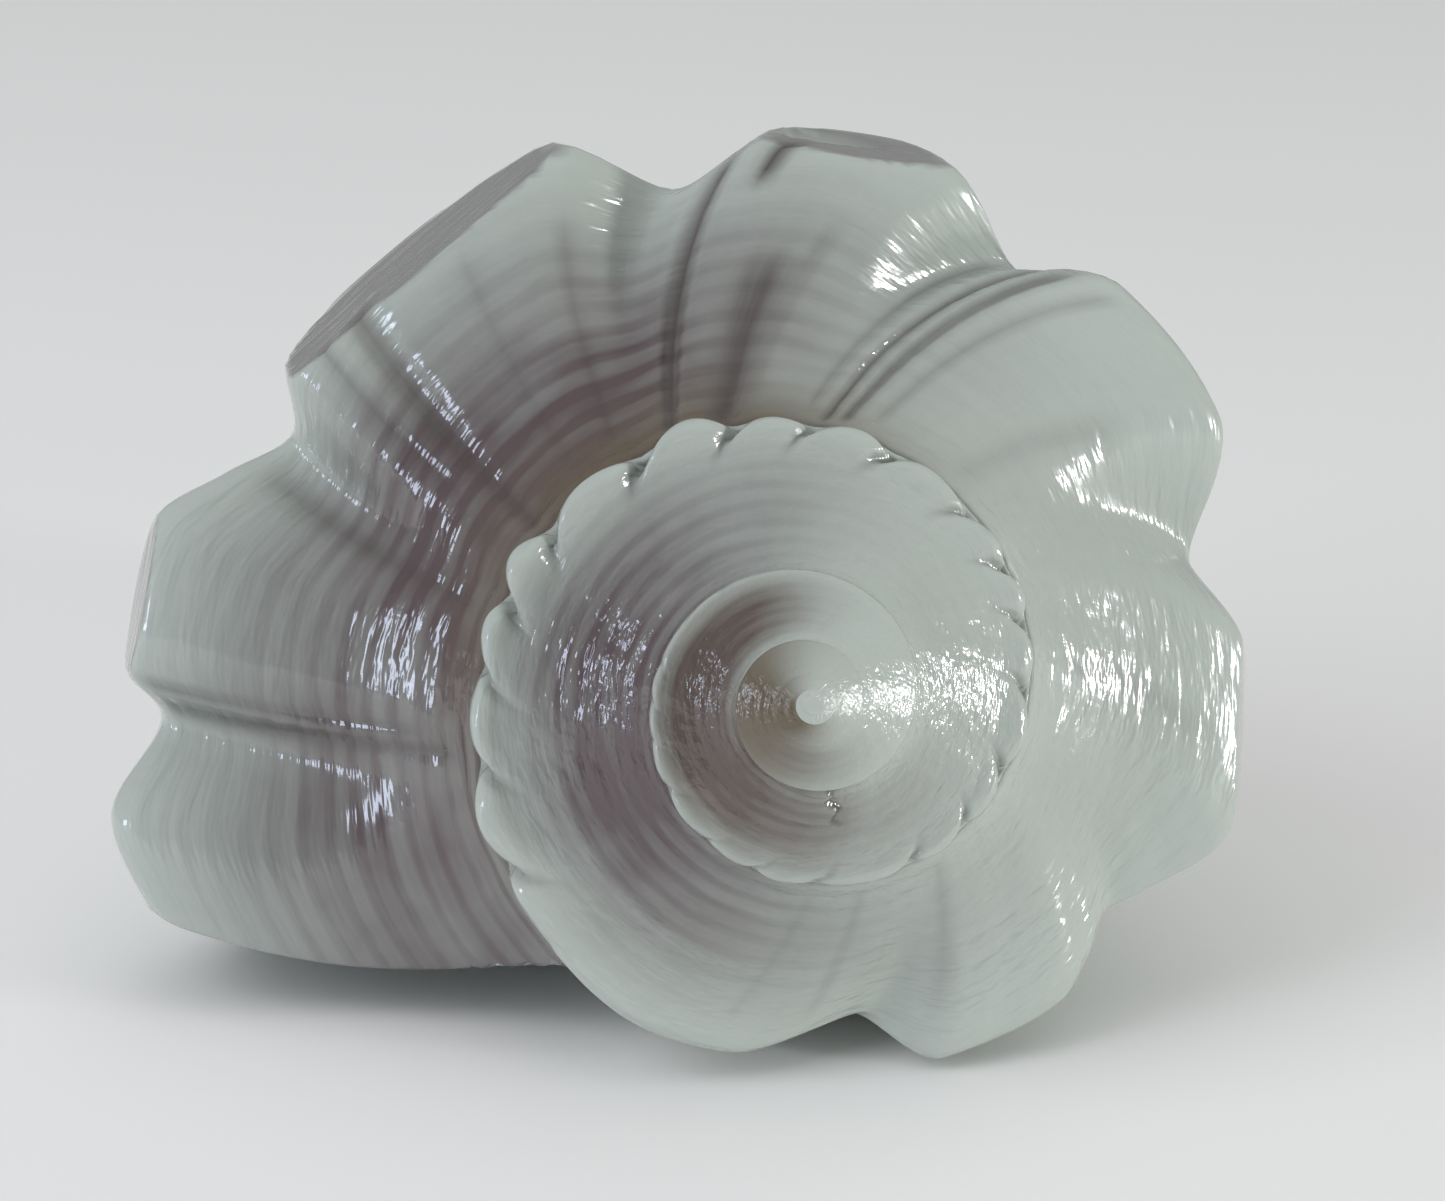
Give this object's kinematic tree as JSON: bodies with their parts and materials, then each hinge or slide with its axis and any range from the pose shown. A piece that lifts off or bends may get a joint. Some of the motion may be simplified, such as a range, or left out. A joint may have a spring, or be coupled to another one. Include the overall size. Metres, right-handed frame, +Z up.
{
  "type": "conch shell",
  "caption": "Large white polished conch shell with a low coiled spire, nodules along the whorls, broad shoulder knobs and a long siphonal canal, resting on its aperture side",
  "frame": {"origin": "bottom centre of the box around the resting shell", "axes": "+Z up from the surface the shell rests on, -Y towards the side the apex faces, +Y towards the tip of the siphonal canal, +X to the right seen from the apex side"},
  "size_m": [0.165, 0.1928, 0.1252],
  "materials": {
    "polished_shell": "gloss"
  },
  "bodies": {
    "root": {"shell": "polished_shell"}
  },
  "joints": []
}
